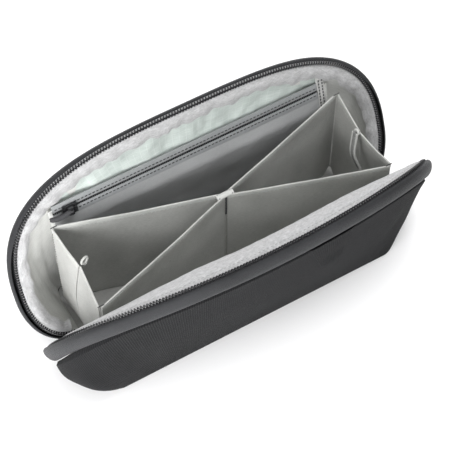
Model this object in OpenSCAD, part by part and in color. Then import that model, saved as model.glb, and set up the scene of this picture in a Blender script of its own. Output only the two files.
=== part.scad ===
// Cable organizer pouch, open and standing on its base.
// Millimetres. +X runs along the length, +Y to the back, +Z up.
// The origin is on the floor, under the middle of the pouch.

/* [Zip rim] */
// Half of the pouch's length, where the rim is widest
rim_half = 122; // [110:1:135]
// Height of the rim above its two low ends, along one leaning half
rim_rise = 119.5; // [110:0.5:130]
// Half of the distance between the low ends of the main zip
zip_end_half = 98.6; // [92:0.2:104]
// Height at which the rim is widest, along one leaning half
widest_rise = 37.9; // [30:0.1:45]
// Squareness of the rim's upper corners, as the power of a superellipse
corner_power = 2.7; // [2.2:0.1:3.4]
// Forward bow of both rims at the middle of their length
rim_bow = 9.7; // [0:0.1:12]
// Height of the line through the zip's low ends, which the halves turn about
hinge_z = 5.5; // [5:0.1:8]
// Lean of the open front half away from upright
lean_front = 26.3; // [20:0.1:32]
// Lean of the open back half away from upright
lean_back = 21.2; // [16:0.1:26]

/* [Main zip] */
// Radius of the coil of zip teeth
coil_r = 1.3; // [1:0.1:1.6]
// Visible width of the zip tape outside the coil
tape_w = 7; // [6:0.1:11]
// Width of the knitted facing inside the coil
facing_w = 11; // [8:0.5:14]
// Radius of the arc that the slider runs round at the right low end
slider_arc_r = 35.2; // [33:0.1:37]

/* [Base] */
// Depth of the base in front of the middle plane
base_front = 44.6; // [40:0.2:50]
// Depth of the base behind the middle plane
base_back = 40; // [36:0.2:46]
// Half of the base's length
base_half = 100; // [92:0.5:104]
// Radius of the base's corners
base_corner = 10; // [6:1:20]
// Thickness of the stiffened base
base_t = 2.6; // [2:0.1:4]

/* [Shell] */
// Thickness of the padded outer panels
shell_t = 2; // [1.5:0.1:3]
// Outward bulge of the outer panels at half height
shell_bulge = 3; // [0:0.5:5]
// Thickness of one layer of lining or divider cloth
cloth_t = 0.8; // [0.6:0.1:1.2]

/* [Compartments] */
// Half of the length between the corners of the divider
inner_half = 94.2; // [88:0.2:96]
// Depth of the divider's back corners behind the middle plane
corner_back = 25.3; // [22:0.1:27]
// Depth of the divider's front corners in front of the middle plane
corner_front = 32; // [28:0.5:33]
// Height of the divider's front corners and centre
divider_top = 80; // [70:1:84]
// Height of the divider's back corners
divider_top_back = 82.6; // [70:0.2:86]
// Place of the sewn crossing along the length
cross_x = 1.5; // [-5:0.5:5]
// Place of the sewn crossing across the depth
cross_y = -1.9; // [-4:0.1:0]
// Place of the gusset folds along the length
fold_x = 91; // [88:0.5:93]
// Place of the gusset folds across the depth
fold_y = -3.3; // [-4:0.1:-2]

/* [Zipped pocket] */
// Height of the pocket's zip
pocket_zip_z = 82; // [78:0.5:84]
// Left end of the pocket's zip
pocket_left = -90; // [-92:1:-80]
// Right end of the pocket's zip, at the vertical binding
pocket_right = 85; // [75:1:88]
// Width of each side of the pocket's zip tape
pocket_tape_w = 5.5; // [4:0.5:7]
// Where the pocket's slider is parked
pocket_slider_x = -80; // [-82:1:-60]

/* [Hidden] */

FRONT = -1;
BACK = 1;
STEPS = 56;                    // stations along a whole rim
END_STEPS = 14;                // stations along one end of a rim
END_SHARE = 0.84;              // share of a half rim above its widest point
coil_w = coil_r + 0.5;         // coil centre, outward from the meeting plane
tape_start = 2 * coil_r + 1.2; // where the tape begins, outward from that plane
tape_t = 1.1;
facing_t = 1.1;
panel_gap = 1.2;               // between the tape's lower edge and the outer panel
cloth_floor = base_t + 4.4;    // underside of divider and gusset cloth
lining_knee = 70;              // height at which the back lining leans back
lining_top_z = 90;
BLACK = "#232426";
CHARCOAL = "#3a3b3e";
KNIT = "#b9b9bb";
OFFWHITE = "#c9c9c2";
RIPSTOP = "#b3bcb7";
SATIN = "#8f9192";
METAL = "#3b3b3d";

// ---- the rim curve and the two leaning halves ----

function lean(side) = side == FRONT ? lean_front : lean_back;
function depth(side) = side == FRONT ? base_front : base_back;
function mix(a, b, k) = a + (b - a) * k;
function unit(v) = v / norm(v);

// Distance of the rim from the centre of its upper arc, at an angle above the horizontal
function arc_reach(angle) =
    let (h = rim_rise - widest_rise)
    pow(pow(cos(angle) / rim_half, corner_power) + pow(sin(angle) / h, corner_power),
        -1 / corner_power);

// Right half of the rim as [x, rise]; k is 0 at the top middle and 1 at the low end
function rim_right(k) =
    k <= END_SHARE
    ? let (angle = 90 * (1 - k / END_SHARE), reach = arc_reach(angle))
      [reach * cos(angle), widest_rise + reach * sin(angle)]
    : let (angle = 90 * (1 - k) / (1 - END_SHARE))
      [zip_end_half + (rim_half - zip_end_half) * sin(angle), widest_rise * (1 - cos(angle))];

// Whole rim; t runs from 0 at the left low end to 1 at the right low end
function rim(t) =
    let (k = abs(2 * t - 1), p = rim_right(k))
    [t < 0.5 ? -p.x : p.x, p.y];

function rim_outward(t) =
    let (d = 0.002, a = rim(max(t - d, 0)), b = rim(min(t + d, 1)), along = unit(b - a))
    [-along.y, along.x];

// A point of one half: x, rise up the half and distance out of the meeting plane
function place(side, x, rise, out) =
    [x,
     side * (rise * sin(lean(side)) + out * cos(lean(side))),
     hinge_z + rise * cos(lean(side)) - out * sin(lean(side))];

function bow(p) = rim_bow * (1 - pow(p.x / rim_half, 2)) * p.y / rim_rise;

// A point near the rim: n along the rim's outward normal, out of the meeting plane
function by_rim(side, t, n, out) =
    let (p = rim(t), q = rim_outward(t))
    place(side, p.x + q.x * n, p.y + q.y * n, out - side * bow(p));

// 0 at the middle of the rim, 1 at its low ends
function endness(t) = pow(abs(2 * t - 1), 3);
function tape_turn(t) = mix(46, 2, endness(t));
function tape_len(t) = mix(tape_w, 4, pow(abs(2 * t - 1), 8));

// A point on the tape's outer face, a distance down from the coil
function on_tape(side, t, down, thick) =
    let (a = tape_turn(t))
    by_rim(side, t, -down * sin(a) - thick * cos(a), tape_start + down * cos(a) - thick * sin(a));

// ---- the base outline ----

// Quarter of the base outline; s is 0 at the middle and 1 at the end, beside the zip
function base_quarter(side, s, inset) =
    let (r = base_corner,
         hx = base_half - inset,
         hy = depth(side) - inset,
         straight = hx - r,
         bend = r * PI / 2,
         end = hy - r - 9,
         run = s * (straight + bend + end),
         turn = (run - straight) / r * 180 / PI)
    run < straight ? [run, side * hy]
    : run < straight + bend ? [straight + r * sin(turn), side * (hy - r + r * cos(turn))]
    : [hx, side * (hy - r - (run - straight - bend))];

function base_point(side, t, inset, z) =
    let (p = base_quarter(side, abs(2 * t - 1), inset))
    [t < 0.5 ? -p.x : p.x, p.y, z];

module base_outline(inset) {
    quarter = [for (i = [0:24]) base_quarter(FRONT, i / 24, inset)];
    back_quarter = [for (i = [24:-1:0]) base_quarter(BACK, i / 24, inset)];
    right = concat(quarter, back_quarter);
    polygon(concat(right, [for (i = [len(right) - 1:-1:0]) [-right[i].x, right[i].y]]));
}

// ---- a solid swept through a list of rings with the same number of points ----

module swept(rings, flip = false) {
    count = len(rings[0]);
    last = len(rings) - 1;
    points = [for (ring = rings) each ring];
    sides = [for (i = [0:last - 1], j = [0:count - 1])
        let (a = i * count + j,
             b = i * count + (j + 1) % count,
             c = a + count,
             d = b + count)
        each [[a, b, d], [a, d, c]]];
    half = floor(count / 2);
    caps = [for (j = [0:half - 2])
        let (a = j, b = j + 1, c = count - 2 - j, d = count - 1 - j)
        each [[a, d, c], [a, c, b]]];
    far = [for (f = caps) [for (v = [2:-1:0]) f[v] + last * count]];
    faces = concat(sides, caps, far);
    polyhedron(points, flip ? faces : [for (f = faces) [f[2], f[1], f[0]]]);
}

// ---- outer shell ----

// One station of an outer panel: down the outer face, then back up the inner face
function panel_ring(side, t) =
    let (top = on_tape(side, t, tape_len(t) + panel_gap, 0),
         low = base_point(side, t, 0, 0.5),
         out = unit([low.x * 0.25, low.y, 0]),
         belly = (top + low) / 2 + out * shell_bulge * (1 - endness(t)),
         inward = -out * shell_t)
    concat([for (k = [0:4]) bend(top, belly, low, k / 4)],
           [for (k = [4:-1:0]) bend(top, belly, low, k / 4) + inward]);

// Point on a smooth bend through three points
function bend(a, b, c, k) =
    let (ctrl = 2 * b - (a + c) / 2)
    (1 - k) * (1 - k) * a + 2 * k * (1 - k) * ctrl + k * k * c;

module outer_panel(side) {
    swept([for (i = [1:STEPS - 1]) panel_ring(side, i / STEPS)], side == BACK);
}

module base_panel() {
    color(CHARCOAL)
        linear_extrude(base_t)
            union() {
                base_outline(shell_t + 0.6);
                square([2 * zip_end_half - 1, 17], center = true);
            }
}

module base_liner() {
    color(OFFWHITE)
        translate([0, 0, base_t + 0.2])
            linear_extrude(cloth_t)
                base_outline(shell_t + 3.2);
}

module front_panel() {
    color(CHARCOAL) outer_panel(FRONT);
}

module back_panel() {
    color(CHARCOAL) outer_panel(BACK);
}

// Blank patch sewn on the front panel, right of the middle
patch_x = [27, 47, 70, 74];     // top left, bottom left, bottom right, top right
patch_low = [0, 0.36, 0.30, 0]; // share of the panel's height below the tape

function patch_point(x, k, thick) =
    let (t = 0.5 + x / 122 * 0.255,
         ring = panel_ring(FRONT, t),
         a = ring[0],
         low = ring[4],
         mid = ring[2],
         p = bend(a, mid, low, k))
    p + [0, -0.3 - thick, 0];

module front_patch() {
    color(BLACK)
        swept([for (i = [0:6])
            let (k = i / 6,
                 x0 = mix(patch_x[0], patch_x[1], k),
                 x1 = mix(patch_x[3], patch_x[2], k),
                 down = mix(0.03, 0.36, k))
            concat([for (j = [0:4]) patch_point(mix(x0, x1, j / 4), down, 0)],
                   [for (j = [4:-1:0]) patch_point(mix(x0, x1, j / 4), down, 1)])]);
}

// ---- zip tapes, coils and facings on the two rims ----

module rim_sweep(side, section, from = 0, to = STEPS) {
    swept([for (i = [from:to]) section(side, i / STEPS)], side == BACK);
}

tape_section = function(side, t)
    [on_tape(side, t, 0, 0), on_tape(side, t, tape_len(t), 0),
     on_tape(side, t, tape_len(t), tape_t), on_tape(side, t, 0, tape_t)];

coil_section = function(side, t)
    [for (a = [315:-45:0]) by_rim(side, t, coil_r * sin(a), coil_w + coil_r * cos(a))];

facing_section = function(side, t)
    let (width = mix(facing_w, 7, endness(t)), start = -coil_r - 0.4)
    [by_rim(side, t, start, coil_w + facing_t), by_rim(side, t, start - width, coil_w + 3 + facing_t),
     by_rim(side, t, start - width, coil_w + 3), by_rim(side, t, start, coil_w)];

module front_zip_tape() {
    color(BLACK) rim_sweep(FRONT, tape_section);
}

module back_zip_tape() {
    color(BLACK) rim_sweep(BACK, tape_section);
}

module front_zip_coil() {
    color(BLACK) rim_sweep(FRONT, coil_section);
}

module back_zip_coil() {
    color(BLACK) rim_sweep(BACK, coil_section);
}

module front_facing() {
    color(KNIT) rim_sweep(FRONT, facing_section, 4, STEPS - 4);
}

module back_facing() {
    color(KNIT) rim_sweep(BACK, facing_section, 4, STEPS - 4);
}

// ---- linings ----

// Line of each inner wall as [distance from the middle plane, height]
back_wall = [[36.5, base_t + 2], [30.5, lining_knee], [36.5, lining_top_z]];
front_wall = [[40.5, base_t + 2], [35.8, lining_knee], [36.5, lining_top_z - 6]];
wall_cut = [14, 30]; // lower corners cut off, clear of the base's round corners

module wall_sheet(side, line, half) {
    outline = concat([for (p = line) [side * p.x, p.y]],
                     [for (i = [len(line) - 1:-1:0]) [side * (line[i].x + cloth_t), line[i].y]]);
    intersection() {
        translate([-half, 0, 0])
            rotate([90, 0, 90])
                linear_extrude(2 * half)
                    polygon(outline);
        rotate([90, 0, 0])
            linear_extrude(4 * base_front, center = true)
                polygon([[-half + wall_cut.x, 0], [half - wall_cut.x, 0], [half, wall_cut.y],
                         [half, rim_rise], [-half, rim_rise], [-half, wall_cut.y]]);
    }
}

module front_lining() {
    color(OFFWHITE) wall_sheet(FRONT, front_wall, inner_half - 2);
}

module back_lining() {
    color(RIPSTOP) wall_sheet(BACK, back_wall, inner_half - 2);
}

// Lining strip between the pocket's wall and the back facing
module back_upper_lining() {
    color(RIPSTOP)
        rim_sweep(BACK, function(side, t)
            let (from = -facing_w - coil_r - 1, to = -facing_w - coil_r - 10)
            [by_rim(side, t, from, coil_w + 5), by_rim(side, t, to, coil_w + 5),
             by_rim(side, t, to, coil_w + 4.2), by_rim(side, t, from, coil_w + 4.2)],
            STEPS / 2 - 13, STEPS / 2 + 13);
}

// Lining of one end of one half, between the gusset's corner and the zip's low end
module end_lining(side, hand) {
    rings = [for (i = [0:END_STEPS])
        let (k = i / END_STEPS,
             t = mix(0.5 + hand * 0.33, 0.5 + hand * 0.47, k),
             top = by_rim(side, t, -coil_r - facing_w - 1.5, coil_w + 5),
             low = [hand * (base_half - shell_t - 1.5),
                    side * mix(depth(side) - shell_t - 6, 10, k),
                    base_t + 1.4],
             thick = [-hand * cloth_t * 0.7, -side * cloth_t * 0.7, 0])
        [top, low, low + thick, top + thick]];
    swept(rings, side * hand > 0);
}

module left_front_end_lining() {
    color(OFFWHITE) end_lining(FRONT, -1);
}

module left_back_end_lining() {
    color(OFFWHITE) end_lining(BACK, -1);
}

module right_front_end_lining() {
    color(OFFWHITE) end_lining(FRONT, 1);
}

module right_back_end_lining() {
    color(OFFWHITE) end_lining(BACK, 1);
}

// ---- zipped pocket on the back wall ----

wall_rise = back_wall[2] - back_wall[1];
wall_tilt = atan(wall_rise.x / wall_rise.y);

// Moves to a height on the leaning upper part of the back wall, out from its face
module on_back_wall(z, out) {
    y = mix(back_wall[1].x, back_wall[2].x, (z - lining_knee) / wall_rise.y);
    translate([0, y, z])
        rotate([-wall_tilt, 0, 0])
            translate([0, -out, 0])
                children();
}

module wall_strip(x0, x1, z, low, high, out, thick) {
    on_back_wall(z, out)
        translate([x0, -thick, low])
            cube([x1 - x0, thick, high - low]);
}

pocket_zip_half = 1.3;
pocket_length = pocket_right - pocket_left;

module pocket_face() {
    color(SATIN)
        wall_sheet(BACK, [[36.5 - 1.4, base_t + 4], [30.5 - 1.4, lining_knee - 0.3]], inner_half - 4);
    color(SATIN)
        wall_strip(pocket_left, pocket_right, pocket_zip_z,
                   lining_knee - pocket_zip_z + 0.6, -pocket_tape_w - 0.4, 0.4, cloth_t);
}

module pocket_upper_tape() {
    color(CHARCOAL)
        wall_strip(pocket_left, pocket_right, pocket_zip_z, pocket_zip_half, pocket_tape_w, 0.4, cloth_t);
}

module pocket_lower_tape() {
    color(CHARCOAL)
        wall_strip(pocket_left, pocket_right, pocket_zip_z, -pocket_tape_w, -pocket_zip_half, 0.4, cloth_t);
}

module pocket_zip_coil() {
    color(BLACK)
        wall_strip(pocket_left, pocket_right, pocket_zip_z, -pocket_zip_half + 0.1,
                   pocket_zip_half - 0.1, 0.4, 1.2);
}

module pocket_binding() {
    color(OFFWHITE)
        wall_strip(pocket_right + 0.4, pocket_right + 4, pocket_zip_z, -11, 5.5, 0.4, 1.2);
}

// Slider: a body over the coil and a bridge that carries the cord
slider_size = [9, 1.5, 6.4];
slider_out = 2;
bail_r = 0.7;
bail_rise = 1.3;

module pocket_slider() {
    color(METAL)
        on_back_wall(pocket_zip_z, slider_out) {
            translate([pocket_slider_x - slider_size.x / 2, -slider_size.y, -slider_size.z / 2])
                cube(slider_size);
            for (z = [-2.6, 1.4])
                translate([pocket_slider_x - 1.6, -slider_size.y - bail_rise - 0.7, z])
                    cube([3.2, bail_rise + 0.8, 1.2]);
            translate([pocket_slider_x, -slider_size.y - bail_rise, -2.4])
                cylinder(h = 4.8, r = bail_r, $fn = 32);
        }
}

cord_r = 0.9;
cord_len = 13;
cord_eye_r = 1.15;

module pocket_pull_cord() {
    color(CHARCOAL)
        on_back_wall(pocket_zip_z, slider_out + slider_size.y + bail_rise)
            difference() {
                union() {
                    translate([pocket_slider_x, 0, -1.1])
                        cylinder(h = 2.2, r = cord_eye_r, $fn = 32);
                    translate([pocket_slider_x - cord_len, -0.1, 0])
                        rotate([0, 90, 0])
                            cylinder(h = cord_len - 0.8, r = cord_r, $fn = 32);
                }
                translate([pocket_slider_x, 0, -3])
                    cylinder(h = 6, r = bail_r + 0.08, $fn = 32);
            }
}

// ---- crossed divider and folding gussets ----

rear_left = [-inner_half, corner_back];
rear_right = [inner_half, corner_back];
front_left = [-inner_half, -corner_front];
front_right = [inner_half, -corner_front];
crossing = [cross_x, cross_y];
left_fold = [-fold_x, fold_y];
right_fold = [fold_x, fold_y];

low_cut = [14, 11]; // lower corner cut off beside the end linings

// Upright cloth along the line from a to b, on the side given, with its top edge from za to zb
module upright(a, b, start, stop, side, za, zb, cut_at_a = false) {
    run = norm(b - a);
    angle = atan2(b.y - a.y, b.x - a.x);
    y0 = side > 0 ? 0.15 : -0.15 - cloth_t;
    top_at = function(s) mix(za, zb, s / run);
    translate([a.x, a.y, 0])
        rotate([0, 0, angle])
            translate([0, y0 + cloth_t, 0])
                rotate([90, 0, 0])
                    linear_extrude(cloth_t)
                        polygon(concat(
                            cut_at_a ? [[start, cloth_floor + low_cut.y],
                                        [start + low_cut.x, cloth_floor],
                                        [run - stop, cloth_floor]]
                                     : [[start, cloth_floor],
                                        [run - stop - low_cut.x, cloth_floor],
                                        [run - stop, cloth_floor + low_cut.y]],
                            [[run - stop, top_at(run - stop)], [start, top_at(start)]]));
}

arm_start = 8; // distance from the crossing at which the loose cloth begins
arm_stop = 0.6;

module divider_centre_seam() {
    color(OFFWHITE)
        translate([cross_x, cross_y, cloth_floor]) {
            cylinder(h = divider_top - cloth_floor, r = 0.9, $fn = 32);
            translate([-6.5, -cloth_t, 0])
                cube([13, 2 * cloth_t, divider_top - cloth_floor]);
        }
}

module divider_rear_left() {
    color(OFFWHITE)
        upright(crossing, rear_left, arm_start, arm_stop, -1, divider_top, divider_top_back);
}

module divider_front_left() {
    color(OFFWHITE)
        upright(crossing, front_left, arm_start, arm_stop, 1, divider_top, divider_top);
}

module divider_rear_right() {
    color(OFFWHITE)
        upright(crossing, rear_right, arm_start, arm_stop, 1, divider_top, divider_top_back);
}

module divider_front_right() {
    color(OFFWHITE)
        upright(crossing, front_right, arm_start, arm_stop, -1, divider_top, divider_top);
}

leaf_start = 0.6;
leaf_stop = 0.7;
front_leaf_stop = 7.9; // the fold is left open here, so that the leaves pass as they turn

module left_gusset_rear() {
    color(OFFWHITE)
        upright(rear_left, left_fold, leaf_start, leaf_stop, -1, divider_top_back, divider_top,
                true);
}

module left_gusset_front() {
    color(OFFWHITE)
        upright(front_left, left_fold, leaf_start, front_leaf_stop, 1, divider_top, divider_top,
                true);
}

module right_gusset_rear() {
    color(OFFWHITE)
        upright(rear_right, right_fold, leaf_start, leaf_stop, 1, divider_top_back, divider_top,
                true);
}

module right_gusset_front() {
    color(OFFWHITE)
        upright(front_right, right_fold, leaf_start, front_leaf_stop, -1, divider_top, divider_top,
                true);
}

// Small cord loop at the top of the left fold
module left_gusset_loop() {
    color(OFFWHITE)
        translate([-fold_x + 3, fold_y + 1.2, divider_top + 0.4])
            rotate([90, 0, 20])
                rotate_extrude($fn = 48)
                    translate([2.4, 0])
                        circle(r = 0.6, $fn = 24);
}

// Cloth strap that hangs from the right fold, slanting down before the front leaf
strap_size = [1, 4.8, 22];
strap_slant = 16;

module right_gusset_strap() {
    color(OFFWHITE)
        translate([fold_x - 2.6, fold_y + 0.6, divider_top + 0.6])
            rotate([-strap_slant, 0, 0])
                translate([0, -strap_size.y / 2, -strap_size.z])
                    cube(strap_size);
}

// ---- main slider, parked at the right low end ----

arc_centre = [86.15, hinge_z + 31.2];
park_angle = -56;
plate_gap = 3.3;
plate_t = 1.3;
plate_half = [4.5, 3.4];

// Moves to the slider's place: local X along the zip, local Z out of the pouch
module at_park() {
    translate([arc_centre.x, 0, arc_centre.y])
        rotate([0, -park_angle, 0])
            translate([slider_arc_r, 0, 0])
                rotate([0, 90, 0])
                    children();
}

module main_slider() {
    color(METAL)
        at_park() {
            for (z = [-plate_gap - plate_t, plate_gap])
                translate([-plate_half.x, -plate_half.y, z])
                    cube([2 * plate_half.x, 2 * plate_half.y, plate_t]);
            translate([-plate_half.x, -0.4, -plate_gap - 0.1])
                cube([2, 0.8, 2 * plate_gap + 0.2]);
        }
}

// Cord loop of the main slider, hanging from its outer plate and resting on the floor
main_bail = [110.2, 3.6];
main_pull_len = 12.4;

module main_slider_pull() {
    color(CHARCOAL)
        translate([main_bail.x, 0, main_bail.y])
            rotate([0, 8, 0])
                translate([0, -2.2, -0.7])
                    cube([main_pull_len, 4.4, 1.4]);
}

base_panel();
base_liner();
front_panel();
back_panel();
front_patch();
left_front_end_lining();
left_back_end_lining();
right_front_end_lining();
right_back_end_lining();
divider_centre_seam();
front_zip_tape();
front_zip_coil();
front_facing();
back_zip_tape();
back_zip_coil();
back_facing();
back_upper_lining();
front_lining();
back_lining();
pocket_face();
pocket_upper_tape();
pocket_lower_tape();
pocket_zip_coil();
pocket_binding();
pocket_slider();
pocket_pull_cord();
divider_rear_left();
divider_front_left();
divider_rear_right();
divider_front_right();
left_gusset_rear();
left_gusset_front();
right_gusset_rear();
right_gusset_front();
left_gusset_loop();
right_gusset_strap();
main_slider();
main_slider_pull();
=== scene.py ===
import math

import bpy
import numpy as np
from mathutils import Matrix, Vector, noise


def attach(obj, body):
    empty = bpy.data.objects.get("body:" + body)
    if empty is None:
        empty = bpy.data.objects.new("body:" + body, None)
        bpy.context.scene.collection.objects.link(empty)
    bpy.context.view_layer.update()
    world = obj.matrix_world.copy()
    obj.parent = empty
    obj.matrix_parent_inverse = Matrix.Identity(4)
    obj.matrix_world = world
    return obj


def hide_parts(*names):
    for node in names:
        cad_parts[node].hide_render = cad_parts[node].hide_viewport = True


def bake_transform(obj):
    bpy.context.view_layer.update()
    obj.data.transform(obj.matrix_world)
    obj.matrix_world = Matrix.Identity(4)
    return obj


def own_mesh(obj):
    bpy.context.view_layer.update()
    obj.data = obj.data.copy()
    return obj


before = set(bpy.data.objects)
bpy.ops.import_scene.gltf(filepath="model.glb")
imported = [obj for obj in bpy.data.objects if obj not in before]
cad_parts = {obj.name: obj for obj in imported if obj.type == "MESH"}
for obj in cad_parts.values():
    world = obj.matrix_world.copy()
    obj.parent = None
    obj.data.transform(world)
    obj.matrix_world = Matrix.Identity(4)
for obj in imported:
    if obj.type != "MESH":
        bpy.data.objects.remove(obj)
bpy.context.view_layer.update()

# Lengths below are in millimetres, in the CAD frame, until mesh() turns them into metres.
MM = 0.001
FRONT, BACK = -1, 1

# ---- sizes and the rim curve, as in the CAD source ----
RIM_HALF, RIM_RISE = 122.0, 119.5
END_HALF, WIDEST = 98.6, 37.9
POWER, END_SHARE = 2.7, 0.84
RIM_BOW, HINGE_Z = 9.7, 5.5
LEAN = {FRONT: math.radians(26.3), BACK: math.radians(21.2)}
DEPTH = {FRONT: 44.6, BACK: 40.0}
BASE_HALF, BASE_CORNER = 100.0, 10.0
END_GAP = 9.0
COIL_OUT, TAPE_START, TAPE_W = 1.8, 3.8, 7.0
TAPE_SLOPE = (46, 2)  # degrees, along the top and at the low ends


def mix(a, b, k):
    """From a at k 0 to b at k 1."""
    return a + (b - a) * k


def smooth(k):
    """A soft step from 0 to 1, flat beyond both."""
    k = min(max(k, 0.0), 1.0)
    return k * k * (3 - 2 * k)


def unit(v):
    v = np.asarray(v, float)
    return v / np.linalg.norm(v)


def rim(t):
    """The rim in its own plane as (x, rise), from the left low end at t 0 to the right one at t 1."""
    k = abs(2 * t - 1)
    if k <= END_SHARE:
        angle = math.pi / 2 * (1 - k / END_SHARE)
        c, s = math.cos(angle), math.sin(angle)
        reach = ((c / RIM_HALF) ** POWER + (s / (RIM_RISE - WIDEST)) ** POWER) ** (-1 / POWER)
        x, rise = reach * c, WIDEST + reach * s
    else:
        angle = math.pi / 2 * (1 - k) / (1 - END_SHARE)
        x = END_HALF + (RIM_HALF - END_HALF) * math.sin(angle)
        rise = WIDEST * (1 - math.cos(angle))
    return np.array([-x if t < 0.5 else x, rise])


def rim_normal(t):
    """The direction out of the pouch within the rim's plane."""
    along = unit(rim(min(t + 0.002, 1)) - rim(max(t - 0.002, 0)))
    return np.array([-along[1], along[0]])


def place(side, x, rise, out):
    """A point of one leaning half: up its meeting plane by rise, and out from that plane."""
    c, s = math.cos(LEAN[side]), math.sin(LEAN[side])
    return np.array([x, side * (rise * s + out * c), HINGE_Z + rise * c - out * s])


def by_rim(side, t, n, out):
    """A point beside the rim: n away from the curve within its plane, and out from the plane."""
    p, q = rim(t), rim_normal(t)
    bow = RIM_BOW * (1 - (p[0] / RIM_HALF) ** 2) * p[1] / RIM_RISE
    return place(side, p[0] + q[0] * n, p[1] + q[1] * n, out - side * bow)


def endness(t):
    """0 along the top of the rim, rising to 1 at its two low ends."""
    return abs(2 * t - 1) ** 3


def tape_len(t):
    """The tape's width, narrower at its two low ends."""
    return mix(TAPE_W, 4, abs(2 * t - 1) ** 8)


def on_tape(side, t, down, thick=0.0):
    """A point on the zip's tape, down from the teeth; thick is negative above its outer face."""
    a = math.radians(mix(*TAPE_SLOPE, endness(t)))
    return by_rim(side, t, -down * math.sin(a) - thick * math.cos(a),
                  TAPE_START + down * math.cos(a) - thick * math.sin(a))


def base_point(side, t, inset, z):
    """The base's edge under the rim at t; it stops END_GAP short of the middle at each end."""
    r, hx, hy = BASE_CORNER, BASE_HALF - inset, DEPTH[side] - inset
    straight, turn_len = hx - r, r * math.pi / 2
    run = abs(2 * t - 1) * (straight + turn_len + hy - r - END_GAP)
    if run < straight:
        x, y = run, hy
    elif run < straight + turn_len:
        a = (run - straight) / r
        x, y = straight + r * math.sin(a), hy - r + r * math.cos(a)
    else:
        x, y = hx, hy - r - (run - straight - turn_len)
    return np.array([-x if t < 0.5 else x, side * y, z])


def bend(a, b, c, k):
    """A curve from a through b, at k 0.5, to c."""
    ctrl = 2 * b - (a + c) / 2
    return (1 - k) ** 2 * a + 2 * k * (1 - k) * ctrl + k * k * c


def ripple(x, y, seed):
    """Smooth noise from -1 to 1, the same on every run."""
    return noise.noise(Vector((x, y, seed)))


# ---- meshes ----

def mesh(name, points, faces, material, uv=None, sharp=50):
    """A piece from points in millimetres; uv is one (u, v) in metres for each point."""
    data = bpy.data.meshes.new(name)
    data.from_pydata([tuple(p) for p in np.asarray(points, float) * MM], [], faces)
    if uv is not None:
        layer = data.uv_layers.new(name="cloth")
        corner = np.zeros(len(data.loops), np.int32)
        data.loops.foreach_get("vertex_index", corner)
        layer.data.foreach_set("uv", np.asarray(uv, np.float32)[corner].ravel())
    data.materials.append(material)
    data.shade_smooth()
    data.set_sharp_from_angle(angle=math.radians(sharp))
    data.update()
    piece = bpy.data.objects.new(name, data)
    bpy.context.scene.collection.objects.link(piece)
    return piece


def grid(rows, columns, f):
    """Points f(i, j) with i and j from 0 to 1, as an array of rows by columns."""
    return np.array([[f(i / (rows - 1), j / (columns - 1)) for j in range(columns)]
                     for i in range(rows)])


def lengths(p, axis):
    """Distance along a grid's rows or columns from its first points."""
    step = np.linalg.norm(np.diff(p, axis=axis), axis=2)
    pad = [(0, 0), (0, 0)]
    pad[axis] = (1, 0)
    return np.cumsum(np.pad(step, pad), axis=axis)


def normals(p):
    a, b = np.gradient(p, axis=0), np.gradient(p, axis=1)
    n = np.cross(a, b)
    return n / np.maximum(np.linalg.norm(n, axis=2, keepdims=True), 1e-9)


def cloth(name, p, thick, material, flip=False):
    """A sheet of one thickness: p is its outer face, and the other face lies behind it."""
    rows, columns = p.shape[:2]
    n = normals(p) * (-1 if flip else 1)
    back = p - n * thick
    count = rows * columns
    u = lengths(p, 0)[:, columns // 2]
    v = lengths(p, 1)
    uv = np.stack([np.repeat(u[:, None], columns, 1), v], 2).reshape(-1, 2)
    uv = np.concatenate([uv, uv]) * MM
    faces = []
    for i in range(rows - 1):
        for j in range(columns - 1):
            a = i * columns + j
            q = (a, a + columns, a + columns + 1, a + 1)
            faces += [q if not flip else q[::-1],
                      tuple(x + count for x in (q[::-1] if not flip else q))]
    edge = list(range(columns))
    edge += [i * columns + columns - 1 for i in range(1, rows)]
    edge += [(rows - 1) * columns + j for j in range(columns - 2, -1, -1)]
    edge += [i * columns for i in range(rows - 2, 0, -1)]
    for a, b in zip(edge, edge[1:] + edge[:1]):
        q = (a, b, b + count, a + count)
        faces.append(q if not flip else q[::-1])
    return mesh(name, np.concatenate([p.reshape(-1, 3), back.reshape(-1, 3)]), faces, material, uv)


SHEET_LEAST, SHARE_LEAST = 10, 0.31


def declare(piece, p):
    """Works out a cloth's size from the grid that it was built on and tells narrow strips apart, but
    returns every piece unchanged.
    """
    width, length = lengths(p, 0)[-1].max(), lengths(p, 1)[:, -1].max()
    if min(width, length) < SHEET_LEAST:
        return piece
    return piece


def loft(rings, ring, first=0):
    """Faces between closed rings of points that follow each other from point first."""
    faces = []
    for i in range(rings - 1):
        a, b = first + i * ring, first + (i + 1) * ring
        for j in range(ring):
            k = (j + 1) % ring
            faces.append((a + j, a + k, b + k, b + j))
    return faces


def caps(rings, ring, first=0):
    """The two faces that close such a loft."""
    last = first + (rings - 1) * ring
    return [tuple(range(first, first + ring))[::-1], tuple(range(last, last + ring))]


def tube(name, centre, across, up, section, material):
    """A section of (across, up) points swept along a line with its own frame at each point."""
    count, ring = len(centre), len(section)
    points = [c + a * s[0] + u * s[1]
              for c, a, u in zip(centre, across, up) for s in section]
    faces = loft(count, ring) + caps(count, ring)
    run = np.concatenate([[0], np.cumsum(np.linalg.norm(np.diff(centre, axis=0), axis=1))])
    uv = [(r * MM, j / ring * 0.004) for r in run for j in range(ring)]
    return mesh(name, points, faces, material, uv, 60)


def oval(width, height, count=8):
    """A section of half width and half height for tube()."""
    turns = [2 * math.pi * i / count for i in range(count)]
    return [(width * math.cos(turn), height * math.sin(turn)) for turn in turns]


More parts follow.
